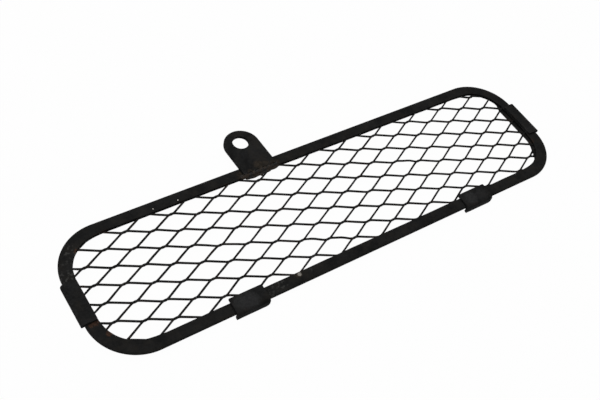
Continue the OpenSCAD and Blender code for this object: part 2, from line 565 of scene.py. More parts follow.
@dataclass(frozen=True)
class WornEnamel:
    """Black enamel on steel, with worn edges, rust, chips and dust, and painted highlight on some edges and
    lug tops.
    """

    name: str
    deep: Rgb = (0.0056, 0.0056, 0.0057)
    pale: Rgb = (0.0116, 0.0115, 0.0112)
    patches: float = 95.0
    rubbed_and_highlight: Rgb = (0.022, 0.0215, 0.021)
    rub_and_highlight_amount: float = 0.55
    rub_and_highlight_breaks: float = 420.0
    roughness: float = 0.46
    dull_roughness: float = 0.62
    gloss: float = 0.008
    dust: Rgb = (0.021, 0.018, 0.0145)
    dust_amount: float = 0.35
    dust_clouds: float = 260.0
    dust_dulls: float = 0.2
    stain_and_highlight_dark: Rgb = (0.011, 0.0095, 0.0078)
    stain_and_highlight_pale: Rgb = (0.027, 0.0215, 0.0165)
    stain_and_highlight_grain: float = 900.0
    rust_dark: Rgb = (0.014, 0.0095, 0.0075)
    rust_pale: Rgb = (0.050, 0.027, 0.018)
    rust_grain: float = 1600.0
    rust_breaks: float = 170.0
    rust_dulls: float = 0.3
    edge_rust: float = 0.25
    scuffed: Rgb = (0.028, 0.0275, 0.0262)
    scuff_grain: float = 820.0
    scuff_edge: tuple[float, float] = (0.5, 0.64)
    bare: Rgb = (0.45, 0.425, 0.385)
    bare_shines: float = 0.2
    fleck_cells: float = 230.0
    fleck_size: float = 0.085
    fleck_share: float = 0.03
    peel: float = 1500.0
    grit: float = 2600.0
    bump: float = 0.25
    bump_depth: float = 0.05 * MM
    soft_ragged: float = 1.1
    rust_ragged: float = 1.5
    bare_ragged: float = 0.9
    rust_spots: tuple[Spot, ...] = ()
    bare_spots: tuple[Spot, ...] = ()
    stain_and_highlight_spots: tuple[Spot, ...] = ()
    scuff_spots: tuple[Spot, ...] = ()

    def build(self, effects: Effects) -> bpy.types.Material:
        """Lay the material.

        Args:
            effects: The shared groups.

        Returns:
            The material.
        """
        material = bpy.data.materials.new(self.name)
        tree = emptied(material)
        where = tree.node("ShaderNodeTexCoord").outputs["Object"]
        normal = tree.node("ShaderNodeNewGeometry").outputs["Normal"]
        edge = tree.node("ShaderNodeAttribute", attribute_name=EDGE).outputs["Fac"]

        inks = {"Deep": rgba(self.deep), "Pale": rgba(self.pale)}
        paint = effects.mottle.place(tree, Vector=where, Patches=self.patches, **inks)
        dust = effects.dust.place(
            tree, Vector=where, Normal=normal, Clouds=self.dust_clouds, Amount=self.dust_amount
        )["Mask"]
        colour = tree.blend(dust, paint["Color"], rgba(self.dust))
        rough = tree.span(paint["Dullness"], 0.0, 1.0, self.roughness, self.dull_roughness)
        rough = tree.math("ADD", rough, tree.math("MULTIPLY", dust, self.dust_dulls), clamp=True)

        worn = {"Vector": where, "Edge": edge}
        # Lighter colour along the edges: worn paint, and painted highlight along the tab's rolled-over edge
        # and the lug bends.
        edge_mask = effects.edge_mask.place(tree, **worn, Breaks=self.rub_and_highlight_breaks, Amount=self.rub_and_highlight_amount)["Mask"]
        colour = tree.blend(edge_mask, colour, rgba(self.rubbed_and_highlight))

        # Stain spots: real heat stains round the weld on the ring and tab, and on the front lug tops a
        # lighter grey painted highlight.
        stain_and_highlight = self._union(tree, effects, where, self.stain_and_highlight_spots, self.soft_ragged)
        tones = {"Scale_colour": rgba(self.stain_and_highlight_dark), "Bloom_colour": rgba(self.stain_and_highlight_pale)}
        stain_and_highlight_colour = effects.rust.place(tree, Vector=where, Grain=self.stain_and_highlight_grain, **tones)
        colour = tree.blend(stain_and_highlight, colour, stain_and_highlight_colour["Color"])

        if self.scuff_spots:
            specks = tree.span(tree.noise(where, self.scuff_grain, 2.0, 0.5), *self.scuff_edge)
            spots = self._union(tree, effects, where, self.scuff_spots, self.soft_ragged)
            colour = tree.blend(tree.math("MULTIPLY", spots, specks), colour, rgba(self.scuffed))

        tones = {"Scale_colour": rgba(self.rust_dark), "Bloom_colour": rgba(self.rust_pale)}
        rusted = effects.rust.place(tree, Vector=where, Grain=self.rust_grain, **tones)
        creep = effects.edge_mask.place(tree, **worn, Breaks=self.rust_breaks, Amount=self.edge_rust)["Mask"]
        spots = self._union(tree, effects, where, self.rust_spots, self.rust_ragged)
        rust = tree.math("MAXIMUM", spots, creep)
        colour = tree.blend(rust, colour, rusted["Color"])
        rough = tree.math("ADD", rough, tree.math("MULTIPLY", rust, self.rust_dulls), clamp=True)

        chips = effects.flecks.place(
            tree, Vector=where, Cells=self.fleck_cells, Size=self.fleck_size, Share=self.fleck_share
        )["Mask"]
        spots = self._union(tree, effects, where, self.bare_spots, self.bare_ragged)
        bare = tree.math("MAXIMUM", spots, chips)
        colour = tree.blend(bare, colour, rgba(self.bare))
        rough = tree.math("SUBTRACT", rough, tree.math("MULTIPLY", bare, self.bare_shines), clamp=True)

        height = effects.grain.place(tree, Vector=where, Peel=self.peel, Grit=self.grit)["Height"]
        pitted = tree.math("ADD", height, tree.math("MULTIPLY", rust, rusted["Height"]))
        relief = {"Height": pitted, "Strength": self.bump, "Distance": self.bump_depth}
        coat = {"Base Color": colour, "Roughness": rough, "Metallic": bare}
        close_material(tree, relief, {**coat, "Specular IOR Level": self.gloss})
        return material

    @staticmethod
    def _union(
        tree: Tree, effects: Effects, where: object, spots: tuple[Spot, ...], ragged: float
    ) -> object:
        """Lay the spots and return their joint mask, or 0 where there is none."""
        joint: object = 0.0 if spots else tree.math("ADD", 0.0, 0.0)
        for spot in spots:
            joint = tree.math("MAXIMUM", joint, spot.mask(tree, effects, where, ragged))
        return joint


@dataclass(frozen=True)
class WeldScale:
    """Weld metal: thin black paint over brown scale that has started to rust."""

    name: str
    scale: Rgb = (0.010, 0.0085, 0.007)
    bloom: Rgb = (0.032, 0.0225, 0.016)
    paint: Rgb = (0.009, 0.0087, 0.0082)
    paint_left: float = 0.55
    paint_fade: float = 0.12
    paint_patches: float = 520.0
    paint_shines: float = 0.25
    grain: float = 1300.0
    roughness: float = 0.75
    bump: float = 0.6
    bump_depth: float = 0.08 * MM
    gloss: float = 0.12

    def build(self, effects: Effects) -> bpy.types.Material:
        """Lay the material.

        Args:
            effects: The shared groups.

        Returns:
            The material.
        """
        material = bpy.data.materials.new(self.name)
        tree = emptied(material)
        where = tree.node("ShaderNodeTexCoord").outputs["Object"]
        tones = {"Scale_colour": rgba(self.scale), "Bloom_colour": rgba(self.bloom)}
        rust = effects.rust.place(tree, Vector=where, Grain=self.grain, **tones)
        patches = tree.noise(where, self.paint_patches, 4.0, 0.6)
        left = tree.span(patches, self.paint_left, self.paint_left - self.paint_fade)
        colour = tree.blend(left, rust["Color"], rgba(self.paint))
        shine = tree.math("MULTIPLY", left, self.paint_shines)
        rough = tree.math("SUBTRACT", self.roughness, shine, clamp=True)
        relief = {"Height": rust["Height"], "Strength": self.bump, "Distance": self.bump_depth}
        coat = {"Base Color": colour, "Roughness": rough, "Specular IOR Level": self.gloss}
        close_material(tree, relief, coat)
        return material


def dress(piece: bpy.types.Object, material: bpy.types.Material, slot: Slot, *nodes: str) -> None:
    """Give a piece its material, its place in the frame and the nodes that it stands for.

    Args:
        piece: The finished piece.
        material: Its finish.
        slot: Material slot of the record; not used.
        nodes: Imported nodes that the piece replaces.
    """
    piece.data.materials.append(material)
    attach(piece, BODY)
    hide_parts(*nodes)
    log.info("%s: %d faces for %s", piece.name, len(piece.data.polygons), ", ".join(nodes))


# The guard's pieces


@dataclass(frozen=True)
class ChannelRing:
    """Ring folded from thin sheet into a flat channel that is open inwards."""

    node: str = "channel_frame"
    corner: float = 19.0 * MM
    channel_width: float = 4.7 * MM
    sheet: float = 0.5 * MM
    fold: float = 0.7 * MM
    lip: float = 0.2 * MM
    inner_lip: float = 0.08 * MM
    step: float = 0.9 * MM
    lip_waver: float = 0.05 * MM
    pinch: float = 0.04 * MM
    wrinkle: float = 0.035 * MM
    wrinkle_pitch: float = 2.7 * MM
    corner_spread: float = 0.42 * MM
    spread_run: tuple[float, float] = (-5.0 * MM, 3.0 * MM)
    tight_corner: tuple[float, float] = (108.0 * MM, 115.0 * MM)
    low_lip: float = 1.75 * MM
    low_lip_start: tuple[float, float] = (24.0 * MM, 30.5 * MM)
    low_lip_end: tuple[float, float] = (58.0 * MM, 65.5 * MM)

    @property
    def centre(self) -> np.ndarray:
        """Middle of the ring in plan."""
        return extent(self.node)[0][:2]

    @property
    def half(self) -> np.ndarray:
        """Half of the ring's length and width."""
        return extent(self.node)[1][:2] / 2.0

    @property
    def top(self) -> float:
        """Height of the ring's top face."""
        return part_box(self.node)[1].z

    @property
    def height(self) -> float:
        """Outside height of the channel."""
        return float(extent(self.node)[1][2])

    def depth(self, x: np.ndarray, y: np.ndarray) -> np.ndarray:
        """Distance inwards from the outline, negative outside it.

        With q the point's distance from the middle less half the size plus the corner
        radius r, the depth is r less the length of q's positive part less min(max q, 0).

        Args:
            x: First coordinates.
            y: Second coordinates.

        Returns:
            The depths.
        """
        qx = np.abs(x - self.centre[0]) - self.half[0] + self.corner
        qy = np.abs(y - self.centre[1]) - self.half[1] + self.corner
        outside = np.hypot(np.maximum(qx, 0.0), np.maximum(qy, 0.0))
        return self.corner - outside - np.minimum(np.maximum(qx, qy), 0.0)

    def outline(self) -> tuple[np.ndarray, np.ndarray, np.ndarray]:
        """Sample the outline: four quarter turns, each with the straight run that follows it.

        Returns:
            Points, inward unit vectors, and 1 in the corners or 0 on the runs.
        """
        middle, reach = self.centre, self.half - self.corner
        turn_steps = math.ceil(QUARTER_TURN * self.corner / (0.7 * self.step))
        points, inward, bent = [], [], []
        corners = [reach * np.array(s) for s in ((1, 1), (-1, 1), (-1, -1), (1, -1))]
        for k, pivot in enumerate(corners):
            angle = QUARTER_TURN * k + np.linspace(0.0, QUARTER_TURN, turn_steps + 1)
            out = np.stack([np.cos(angle), np.sin(angle)], axis=1)
            points.append(middle + pivot + self.corner * out)
            inward.append(-out)
            bent.append(np.ones(len(out)))
            run = corners[(k + 1) % 4] - pivot
            steps = max(2, math.ceil(float(np.abs(run).sum()) / self.step))
            share = np.linspace(0.0, 1.0, steps + 1)[1:-1, None]
            points.append(points[-1][-1] + share * run)
            inward.append(np.repeat(-out[-1:], len(share), axis=0))
            bent.append(np.zeros(len(share)))
        return np.concatenate(points), np.concatenate(inward), np.concatenate(bent)

    def section(self) -> tuple[np.ndarray, np.ndarray]:
        """Sample the channel's section: distance inwards from the outer face, height below the top.

        Returns:
            Points round the section, and their closeness to a worn edge.
        """
        w, h, t = self.channel_width, self.height, self.sheet
        fold, lip, small = self.fold, self.lip, self.inner_lip
        inner = fold - t
        upper = [
            line((fold, 0.0), (w - lip, 0.0), 7),
            arc((w - lip, -lip), lip, 90.0, 0.0, 4),
            arc((w - small, -t + small), small, 0.0, -90.0, 2),
            line((w - small, -t), (t + inner, -t), 5),
            arc((t + inner, -t - inner), inner, 90.0, 180.0, 3),
        ]
        rim = [np.zeros(6), (0.5, 0.9, 1.0, 0.9, 0.6), (0.3, 0.2, 0.0), np.zeros(8)]
        turn = arc((fold, -fold), fold, 180.0, 90.0, 8)
        turn_rim = 0.75 * np.sin(np.linspace(0.0, math.pi, 9)) ** 2
        half_points = np.concatenate([turn, *upper])
        half_rim = np.concatenate([turn_rim, *rim])
        lower = half_points[::-1] * np.array([1.0, -1.0]) + np.array([0.0, -h])
        return np.concatenate([half_points, lower]), np.concatenate([half_rim, half_rim[::-1]])

    def spread(self, x: np.ndarray, y: np.ndarray) -> tuple[np.ndarray, np.ndarray]:
        """Work out how far the lips reach further in than the channel's width.

        Bending pushed both lips in at three corners, and the lower lip was left wide along
        the right run. Each is its size times smooth steps along the outline.

        Args:
            x: First coordinates of the outline.
            y: Second coordinates of the outline.

        Returns:
            Extra reach of the upper and the lower lip.
        """
        middle, reach = self.centre, self.half - self.corner
        into_corner = np.minimum(np.abs(x - middle[0]) - reach[0], np.abs(y - middle[1]) - reach[1])
        tight = smooth_step(*self.tight_corner, x) * (y > middle[1])
        both = self.corner_spread * smooth_step(*self.spread_run, into_corner) * (1.0 - tight)
        along_right = smooth_step(*self.low_lip_start, -y) * (1.0 - smooth_step(*self.low_lip_end, -y))
        return both, np.maximum(both, self.low_lip * along_right * (x > middle[0] + reach[0]))

    def build(self) -> bpy.types.Object:
        """Carry the section round the outline.

        A point is outline + inward * a, at height b under the top. The lips waver by a few
        hundredths of a millimetre, lean into the slot and are gathered in the corners.

        Returns:
            The piece.
        """
        points, inward, bent = self.outline()
        section, rim = self.section()
        a, b = section[None, :, 0], section[None, :, 1]
        x, y = points[:, :1], points[:, 1:]
        share = np.clip(a / self.channel_width, 0.0, 1.0)
        waver = waviness(x, y, (31.0 * MM, 13.0 * MM, 7.0 * MM), 11) * self.lip_waver
        lean = (0.6 + 0.4 * waviness(x, y, (23.0 * MM, 9.0 * MM), 12)) * self.pinch
        run = np.concatenate([[0.0], np.cumsum(np.hypot(*np.diff(points, axis=0).T))])[:, None]
        gather = bent[:, None] * 0.5 * (1.0 - np.cos(FULL_TURN * run / self.wrinkle_pitch)) * self.wrinkle
        towards_slot = np.sign(-self.height / 2.0 - b)
        upper, lower = self.spread(x, y)
        inset = a + (waver + np.where(b > -self.height / 2.0, upper, lower)) * share**2
        level = b + towards_slot * (lean + gather) * share**2
        grid = np.empty((len(points), len(section), 3))
        grid[:, :, :2] = points[:, None, :] + inward[:, None, :] * inset[:, :, None]
        grid[:, :, 2] = self.top + level
        surface = Surface()
        surface.add(grid, np.broadcast_to(rim[None, :], grid.shape[:2]), loop=True)
        return surface.build("folded_ring")


@dataclass(frozen=True)
class Knock:
    """A small knock in the expanded metal: place in plan and how far it pushed, in millimetres."""

    place: tuple[float, float]
    push: Triple
    reach: float = 2.4


@dataclass(frozen=True)
class ExpandedMetal:
    """Raised expanded metal: zigzag strands that share their bonds and lean out of the sheet."""

    ring: ChannelRing
    node: str = "expanded_mesh"
    long_way: float = 19.3 * MM
    short_way: float = 8.0 * MM
    sheet: float = 0.75 * MM
    strand: float = 0.6 * MM
    bond: float = 1.7 * MM
    bond_x: float = 7.6 * MM
    bond_y: float = 0.4 * MM
    ease_on_bond: float = 0.75 * MM
    ease_on_ramp: float = 1.5 * MM
    edge_gap: float = 0.3 * MM
    side_gap: float = 0.06 * MM
    corner_round: float = 0.11 * MM
    bond_sharp: float = 0.97
    bond_fade: tuple[float, float] = (0.3 * MM, 0.5 * MM)
    thick_waver: float = 0.07
    edge_wear: float = 0.8
    crush_run: float = 1.5 * MM
    unevenness: float = 0.11 * MM
    slip_unit: Triple = (100.0 * MM, 25.0 * MM, 1.0 * MM)
    slip_x: tuple[float, ...] = (-0.15, 0.19, -0.09, 0.12, -0.15, -0.41)
    slip_y: tuple[float, ...] = (-0.09, 0.49, -0.11, 0.42, -0.12, 0.02)
    knocks: tuple[Knock, ...] = (
        Knock((2.1, -51.4), (0.0, 0.30, 0.20)),
        Knock((12.4, -56.8), (0.0, 0.28, 0.20)),
        Knock((61.6, -37.0), (0.10, 0.42, 0.25), 2.8),
        Knock((-30.0, -38.0), (0.0, -0.25, -0.15), 4.0),
    )

    @property
    def lean(self) -> float:
        """Angle of the strands to the sheet's plane, from bending alone."""
        return math.acos(2.0 * self.strand / self.short_way)

    @property
    def zigzag_height(self) -> float:
        """Height of the zigzag, square to the strand's own face."""
        return self.short_way / 2.0 * math.sin(self.lean)

    def zigzag(self, pitches: int) -> np.ndarray:
        """Sample a strand's middle line: low bond, ramp, high bond, ramp, with eased corners.

        Each corner q is the curve (1 - t)^2 p + 2 t (1 - t) q + t^2 r, with p and r on its
        two sides, further from it on the ramp than on the bond.

        Args:
            pitches: Number of long ways.

        Returns:
            Points along the strand: run and height.
        """
        start = np.arange(pitches)[:, None] * self.long_way
        half, bond = self.long_way / 2.0, self.bond / 2.0
        x = start + np.array([bond, half - bond, half + bond, self.long_way - bond])
        y = np.broadcast_to(np.array([0.0, 1.0, 1.0, 0.0]) * self.zigzag_height, x.shape)
        corner = np.stack([x.ravel(), y.ravel()], axis=1)
        before = np.concatenate([[[-bond, 0.0]], corner[:-1]]) - corner
        after = np.concatenate([corner[1:], [[pitches * self.long_way + bond, 0.0]]]) - corner
        bond_first = np.tile([self.ease_on_bond, self.ease_on_ramp], 2 * pitches)[:, None]
        ramp_first = np.tile([self.ease_on_ramp, self.ease_on_bond], 2 * pitches)[:, None]
        p = corner + bond_first * before / np.linalg.norm(before, axis=1, keepdims=True)
        r = corner + ramp_first * after / np.linalg.norm(after, axis=1, keepdims=True)
        t = np.linspace(0.0, 1.0, 5)[None, :, None]
        eased = (1 - t) ** 2 * p[:, None] + 2 * t * (1 - t) * corner[:, None] + t**2 * r[:, None]
        ahead = np.concatenate([p[1:], [[pitches * self.long_way, 0.0]]])
        share = np.array([1.0, 2.0, 3.0])[None, :, None] / 4.0
        between = (1.0 - share) * r[:, None] + share * ahead[:, None]
        return np.concatenate([[[0.0, 0.0]], np.concatenate([eased, between], axis=1).reshape(-1, 2)])

    def closeness(self, run: np.ndarray, shift: float) -> np.ndarray:
        """Share of a bond at each place: 1 on the bond, falling to 0 beside it."""
        away = np.abs((run + shift + self.long_way / 2.0) % self.long_way - self.long_way / 2.0)
        before, after = self.bond_fade
        return 1.0 - smooth_step(self.bond / 2.0 - before, self.bond / 2.0 + after, away)

    def both_bonds(self, run: np.ndarray) -> tuple[np.ndarray, np.ndarray]:
        """Share of the low and of the high bond at each place."""
        return self.closeness(run, 0.0), self.closeness(run, self.long_way / 2.0)

    def section(self, path: np.ndarray) -> tuple[np.ndarray, np.ndarray]:
        """Sample the strand's section at each point: a rectangle whose corners are rounded.

        Where two strands share a bond, the corners between them stay sharp, so that the
        bond is one flat face.

        Args:
            path: The strand's middle line.

        Returns:
            Offsets across the sheet and along the strand's width, rows by 12 each.
        """
        low, high = (1.0 - self.bond_sharp * near for near in self.both_bonds(path[:, 0]))
        waver = waviness(path[:, 0], path[:, 1], (17.0 * MM, 6.0 * MM), 21)
        thick = self.sheet / 2.0 * (1.0 + self.thick_waver * waver)
        quarter = np.radians(np.array([0.0, 45.0, 90.0]))
        across, along = [], []
        for k, (side, keep) in enumerate(((1.0, low), (-1.0, low), (-1.0, high), (1.0, high))):
            radius = (self.corner_round * keep)[:, None]
            turn = quarter + QUARTER_TURN * k
            across.append(side * (thick[:, None] - radius) + radius * np.cos(turn))
            middle = -radius if k < 2 else radius - self.strand
            along.append(middle + radius * np.sin(turn))
        return np.concatenate(across, axis=1), np.concatenate(along, axis=1)

    def slip(self, x: np.ndarray, y: np.ndarray) -> tuple[np.ndarray, np.ndarray]:
        """Work out how far the stretched sheet sits from an even pattern.

        With u and v the distances from the ring's middle in slip units, each slip is
        a + b u + c v + d u^2 + e u v + f u^3.

        Args:
            x: First coordinates.
            y: Second coordinates.

        Returns:
            The slips along and across the ring.
        """
        u = (x - self.ring.centre[0]) / self.slip_unit[0]
        v = (y - self.ring.centre[1]) / self.slip_unit[1]
        terms = np.stack([np.ones_like(u), u, v, u**2, u * v, u**3])
        along, across = (np.tensordot(np.array(k), terms, axes=1) for k in (self.slip_x, self.slip_y))
        return along * self.slip_unit[2], across * self.slip_unit[2]

    def settle(self, points: np.ndarray) -> np.ndarray:
        """Crush the edge flat in the channel's slot and add the unevenness and knocks.

        The height is scaled from 1 at the crush run's end to the slot's share at the lip,
        and each knock pushes by exp(-(distance / reach)^2).

        Args:
            points: Grid of points in the part's frame.

        Returns:
            The moved points.
        """
        x, y, z = points[..., 0], points[..., 1], points[..., 2]
        middle = self.ring.top - self.ring.height / 2.0
        slot = self.ring.height / 2.0 - self.ring.sheet - self.side_gap
        natural = self.strand * math.sin(self.lean) * 1.06
        depth = self.ring.depth(x, y)
        lip = self.ring.channel_width
        free = smooth_step(lip, lip + self.crush_run, depth)
        scale = slot / natural + (1.0 - slot / natural) * free
        bend = waviness(x, y, (61.0 * MM, 27.0 * MM, 14.0 * MM), 31) * self.unevenness
        sway = waviness(x, y, (48.0 * MM, 21.0 * MM, 12.0 * MM), 32) * self.unevenness
        lift = waviness(x, y, (70.0 * MM, 33.0 * MM), 33) * 0.5 * self.unevenness
        level = middle + (z - middle) * scale + free * lift
        moved = np.stack([x + free * bend, y + free * sway, level], axis=-1)
        for knock in self.knocks:
            away = np.hypot(x - knock.place[0] * MM, y - knock.place[1] * MM) / (knock.reach * MM)
            moved += (free * np.exp(-(away**2)))[..., None] * np.array(knock.push) * MM
        return moved

    def strand_at(self, row: int, pitches: int, surface: Surface) -> None:
        """Add one strand, cut where it leaves the room inside the channel.

        A point is origin + run * X + height * n + width * w, where n leans from Y and w from
        Z by the strand's lean.

        Args:
            row: Half short ways from the bond that fixes the pattern.
            pitches: Long ways on each side of that bond.
            surface: Where the strand goes.
        """
        path = self.zigzag(2 * pitches + 1)
        start_x = self.ring.centre[0] + self.bond_x - (pitches + (row % 2) / 2.0) * self.long_way
        start_y = self.ring.centre[1] + self.bond_y + row * self.short_way / 2.0
        sin_lean, cos_lean = math.sin(self.lean), math.cos(self.lean)
        middle_x, middle_y = start_x + path[:, 0], start_y + path[:, 1] * sin_lean
        along_slip, across_slip = self.slip(middle_x, middle_y)
        depth = self.ring.depth(middle_x + along_slip, middle_y + across_slip)
        limit = self.ring.sheet + self.edge_gap
        inside = np.flatnonzero(depth > limit)
        if not len(inside):
            return
        for block in np.split(inside, np.flatnonzero(np.diff(inside) > 1) + 1):
            first, last = max(block[0], 1), min(block[-1], len(path) - 2)
            ends = []
            for kept, lost in ((first, first - 1), (last, last + 1)):
                share = (depth[kept] - limit) / max(depth[kept] - depth[lost], 1e-12)
                ends.append(path[kept] + share * (path[lost] - path[kept]))
            piece = np.concatenate([ends[:1], path[first : last + 1], ends[1:]])
            if len(piece) < 4:
                continue
            slope = np.gradient(piece, axis=0)
            slope /= np.linalg.norm(slope, axis=1, keepdims=True)
            across, along = self.section(piece)
            run = piece[:, :1] - slope[:, 1:] * across
            height = piece[:, 1:] + slope[:, :1] * across
            plan_y = start_y + height * sin_lean - along * cos_lean
            level = self.ring.top - self.ring.height / 2.0 + height * cos_lean + along * sin_lean
            grid = np.stack([start_x + run, plan_y, level], axis=-1)
            grid[..., :2] += np.stack(self.slip(grid[..., 0], grid[..., 1]), axis=-1)
            worn = 1.0 - np.repeat(np.stack(self.both_bonds(piece[:, 0])), 6, axis=0).T
            surface.add(self.settle(grid), self.edge_wear * worn, loop=False)

    def build(self) -> bpy.types.Object:
        """Lay all the strands.

        Returns:
            The piece.
        """
        surface = Surface()
        rows = math.ceil(self.ring.half[1] / (self.short_way / 2.0)) + 1
        pitches = math.ceil((self.ring.half[0] + self.bond_x) / self.long_way) + 1
        for row in range(-rows, rows):
            self.strand_at(row, pitches, surface)
        return surface.build("expanded_strands")


@dataclass(frozen=True)
class BoltTab:
    """Flat tab with one round end and a bolt hole at the origin, welded on a little out of square."""

    node: str = "mounting_tab"
    hole: float = 3.32 * MM
    width: float = 15.1 * MM
    tip_back: float = 1.3 * MM
    foot: float = -14.8 * MM
    turn: float = 2.0
    roll_over: float = 0.28 * MM
    burr: float = 0.1 * MM
    side_steps: int = 26
    end_steps: int = 60
    face_steps: int = 12

    def outline(self) -> np.ndarray:
        """Sample the outline: foot, right side, half circle and left side.

        Returns:
            Points in plan, round the tab, before it is turned.
        """
        radius = self.width / 2.0
        left, right = (-radius, self.foot), (radius, self.foot)
        foot = line(left, right, self.side_steps)
        up = line(right, (radius, -self.tip_back), self.side_steps)
        tip = arc((0.0, -self.tip_back), radius, 0.0, 180.0, self.end_steps)
        down = line((-radius, -self.tip_back), left, self.side_steps)
        return np.concatenate([[left], foot, [right], up, tip, down])

    def build(self) -> bpy.types.Object:
        """Carry a section round the hole.

        Along each ray from the hole to the outline a point is hole + (outline - hole) * f at
        height z. The section (f, z) rises in the hole, rolls over, crosses the top and comes
        back underneath. Each stretch of it holds a distance from the hole, a share of the
        way, a distance from the outline, a height and the wear.

        Returns:
            The piece.
        """
        low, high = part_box(self.node)
        thick = high.z - low.z
        rim = self.outline()
        heading = np.arctan2(rim[:, 1], rim[:, 0])
        bore = self.hole * np.stack([np.cos(heading), np.sin(heading)], axis=1)
        reach = np.linalg.norm(rim - bore, axis=1)[:, None]
        roll, burr = self.roll_over, self.burr
        inner = 0.6 * roll
        middle = [(0.0, thick / 2.0)]
        near = np.concatenate([[(0.0, burr)], middle, arc((inner, thick - inner), inner, 180.0, 90.0, 4)])
        over = arc((-roll, thick - roll), roll, 90.0, 0.0, 5)
        far = np.concatenate([over, middle, arc((-burr, burr), burr, 0.0, -90.0, 2)])
        across = np.linspace(0.0, 1.0, self.face_steps)[1:-1]
        back = arc((burr, burr), burr, 270.0, 180.0, 2)[:-1]
        # The last value of each stretch is the closeness to a worn edge; on the rolled-over edge it also
        # places the painted highlight.
        stretches = (
            (near[:, 0], 0.0, 0.0, near[:, 1], (0.0, 0.0, 0.3, 0.8, 1.0, 0.8, 0.3)),
            (0.0, across, 0.0, thick, 0.0),
            (0.0, 1.0, far[:, 0], far[:, 1], (0.2, 0.6, 0.9, 0.9, 0.6, 0.2, 0.0, 0.2, 0.4, 0.2)),
            (0.0, across[::-1], 0.0, 0.0, 0.0),
            (back[:, 0], 0.0, 0.0, back[:, 1], 0.0),
        )
        rows = np.concatenate([np.stack(np.broadcast_arrays(*stretch)) for stretch in stretches], axis=1)
        start, part, end, level, worn = rows[:, None, :]
        inner_edge, outer_edge = inner / reach, 1.0 - roll / reach
        crossing = (part > 0.0) & (part < 1.0)
        f = np.where(crossing, inner_edge + part * (outer_edge - inner_edge), part) + (start + end) / reach
        grid = np.empty((len(rim), f.shape[1], 3))
        grid[:, :, :2] = turned(bore[:, None, :] + (rim - bore)[:, None, :] * f[:, :, None], self.turn)
        grid[:, :, 2] = low.z + level
        surface = Surface()
        surface.add(grid, np.broadcast_to(worn, f.shape), loop=True)
        return surface.build("bolt_tab")


@dataclass(frozen=True)
class WeldBead:
    """Hand-laid bead along the tab's foot, sagging over the ring's lip, with some spatter."""

    ring: ChannelRing
    tab: BoltTab
    node: str = "tab_weld"
    start: float = 0.9 * MM
    sink: float = 0.22
    ripple_pitch: float = 0.62 * MM
    ripple: float = 0.05 * MM
    roughness: float = 0.07 * MM
    lump_step: float = 1.75 * MM
    blend: int = 6
    lump_radii: tuple[float, ...] = (1.05, 1.25, 1.15, 1.35, 1.2, 1.4, 1.25, 1.3, 1.15, 1.05)
    sags: tuple[tuple[Triple, Triple], ...] = (
        ((-2.9, -15.75, -0.78), (3.9, 1.05, 0.84)),
        ((1.6, -15.6, -0.76), (4.2, 1.0, 0.84)),
        ((6.4, -15.4, -0.7), (3.0, 0.75, 0.8)),
        ((0.4, -16.2, -0.8), (0.9, 0.85, 0.75)),
    )
    sag_seed: int = 60
    spatter_seed: int = 43
    spatter_flat: float = 0.7
    spatter: tuple[Triple, ...] = (
        (7.75, -14.15, 0.34),
        (-11.6, -14.9, 0.22),
        (5.9, -15.2, 0.27),
        (-13.4, -13.2, 0.16),
    )

    def bead(self) -> np.ndarray:
        """Sample the bead: a tube whose radius is the soft envelope of lumps, sqrt(R^2 - (x - c)^2).

        Returns:
            Grid of points, along by round.
        """
        radii = np.array(self.lump_radii) * MM
        centres = -self.tab.width / 2.0 - self.start + np.arange(len(radii)) * self.lump_step
        x = np.linspace(centres[0] - radii[0], centres[-1] + radii[-1], 150)[:, None]
        caps = np.sqrt(np.maximum(radii**2 - (x - centres) ** 2, 0.0))
        radius = np.sum(caps**self.blend, axis=1, keepdims=True) ** (1.0 / self.blend)
        angle = np.linspace(0.0, FULL_TURN, 36, endpoint=False)[None, :]
        bow = self.ripple * np.cos(FULL_TURN * (x / self.ripple_pitch + 0.22 * np.cos(angle)))
        lengths = (2.3 * MM, 1.1 * MM, 0.7 * MM)
        rough = self.roughness * waviness(x + 0.0 * angle, 0.9 * MM * angle, lengths, 41)
        full = np.minimum(radius / (0.5 * MM), 1.0)
        bulge = radius + full * (bow + rough)
        up = np.maximum(np.sin(angle), -self.sink)
        plan = np.stack([x + 0.0 * angle, self.tab.foot + bulge * np.cos(angle)], axis=-1)
        level = self.ring.top + 0.98 * bulge * up
        return np.concatenate([turned(plan, self.tab.turn), level[..., None]], axis=-1)

    @staticmethod
    def blob(centre: Triple, radii: Triple, seed: int) -> np.ndarray:
        """Sample an uneven ball: each radius times (1 + noise), from pole to pole.

        Args:
            centre: Its middle, in millimetres.
            radii: Its three radii, in millimetres.
            seed: Seed of its unevenness.

        Returns:
            Grid of points.
        """
        polar = np.linspace(0.05, math.pi - 0.05, 15)[:, None]
        turn = np.linspace(0.0, FULL_TURN, 24, endpoint=False)[None, :]
        sides = [np.sin(polar) * np.cos(turn), np.sin(polar) * np.sin(turn), np.cos(polar) + 0.0 * turn]
        out = np.stack(sides, axis=-1)
        uneven = 1.0 + 0.12 * waviness(out[..., 0] + out[..., 2], out[..., 1], (1.7, 0.9), seed)
        return (np.array(centre) + out * uneven[..., None] * np.array(radii)) * MM

    def build(self) -> bpy.types.Object:
        """Lay the bead, the sags and the spatter.

        Returns:
            The piece.
        """
        surface = Surface()
        lumps = [self.bead()]
        for k, (centre, radii) in enumerate(self.sags):
            lumps.append(self.blob(centre, radii, self.sag_seed + k))
        for k, (x, y, radius) in enumerate(self.spatter):
            radii = (radius, radius, self.spatter_flat * radius)
            lumps.append(self.blob((x, y, self.ring.top / MM), radii, self.spatter_seed + k))
        for lump in lumps:
            surface.add(lump, np.zeros(lump.shape[:2]), loop=False)
        return surface.build("weld_lumps")


